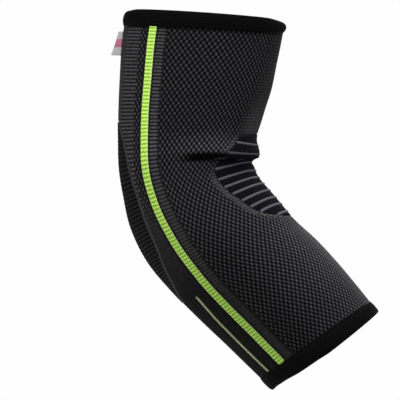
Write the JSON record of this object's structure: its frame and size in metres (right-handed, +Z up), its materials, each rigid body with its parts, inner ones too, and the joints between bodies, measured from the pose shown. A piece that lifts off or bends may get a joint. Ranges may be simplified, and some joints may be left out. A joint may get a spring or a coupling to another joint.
{
  "type": "elbow support sleeve",
  "caption": "Knitted compression elbow sleeve with bound cuffs, a ribbed crook panel, a long back panel and lime side stripes, shaped as worn on a bent arm.",
  "frame": {"origin": "the elbow's pivot, where the upper arm's and the forearm's centre lines meet inside the sleeve", "axes": "+Z up along the upper arm to the upper cuff, +X forward out of the crook of the elbow, -Y to the outer side of the arm"},
  "size_m": [0.2049, 0.0992, 0.248],
  "materials": {
    "dotted_knit": "black knit with grey dots",
    "ribbed_knit": "matte black rib knit",
    "rib_line": "grey yarn",
    "lime_stripe": "lime yarn in ladder stitch",
    "pale_lime": "pale lime yarn",
    "binding": "matte black folded band",
    "elastic": "flat woven elastic",
    "thread": "black sewing thread",
    "label": "woven grey label"
  },
  "bodies": {
    "upper_arm": {"upper_arm_knit": "dotted_knit", "elbow_side_outer": "dotted_knit", "elbow_side_inner": "dotted_knit", "back_panel_upper": "ribbed_knit", "upper_cuff_binding": "binding", "upper_cuff_elastic": "elastic", "upper_cuff_stitching": "thread", "upper_stripe_outer": "lime_stripe", "upper_stripe_inner": "lime_stripe", "upper_back_seam": "thread", "label_stitching": "thread", "back_border_upper_outer": "rib_line", "back_border_upper_inner": "rib_line", "crook_knit": "dotted_knit", "crook_rib_panel": "ribbed_knit", "crook_rib_01": "rib_line", "crook_rib_02": "rib_line", "crook_rib_03": "rib_line", "crook_rib_04": "rib_line", "crook_rib_05": "rib_line", "crook_rib_06": "rib_line", "crook_rib_07": "rib_line", "crook_rib_08": "rib_line", "crook_rib_09": "rib_line", "crook_rib_10": "rib_line", "back_knit_outer": "dotted_knit", "back_knit_inner": "dotted_knit", "back_panel_elbow": "ribbed_knit", "back_border_elbow_outer": "rib_line", "back_border_elbow_inner": "rib_line", "elbow_stripe_outer": "lime_stripe", "elbow_stripe_inner": "lime_stripe"},
    "forearm": {"forearm_knit": "dotted_knit", "back_panel_forearm": "ribbed_knit", "back_border_forearm_outer": "rib_line", "back_border_forearm_inner": "rib_line", "forearm_stripe_outer": "lime_stripe", "forearm_stripe_inner": "lime_stripe", "forearm_accent_outer": "pale_lime", "forearm_accent_inner": "pale_lime", "forearm_cuff_binding": "binding", "forearm_cuff_elastic": "elastic", "forearm_cuff_stitching": "thread"},
    "label": {"label_tag": "label"}
  },
  "joints": [
    {"name": "elbow_flex", "type": "hinge", "parent": "upper_arm", "child": "forearm", "pos_m": [0, 0, 0], "axis": [0, -1, 0], "range_deg": [-49.5, 65], "deforming": ["crook_knit", "crook_rib_panel", "crook_rib_01", "crook_rib_02", "crook_rib_03", "crook_rib_04", "crook_rib_05", "crook_rib_06", "crook_rib_07", "crook_rib_08", "crook_rib_09", "crook_rib_10", "back_knit_outer", "back_knit_inner", "back_panel_elbow", "back_border_elbow_outer", "back_border_elbow_inner", "elbow_stripe_outer", "elbow_stripe_inner"]},
    {"name": "label_flap", "type": "hinge", "parent": "upper_arm", "child": "label", "pos_m": [-0.05245, -0.01081, 0.08384], "axis": [-0.0537, -0.0045, 0.9985], "range_deg": [-12, 90]}
  ]
}
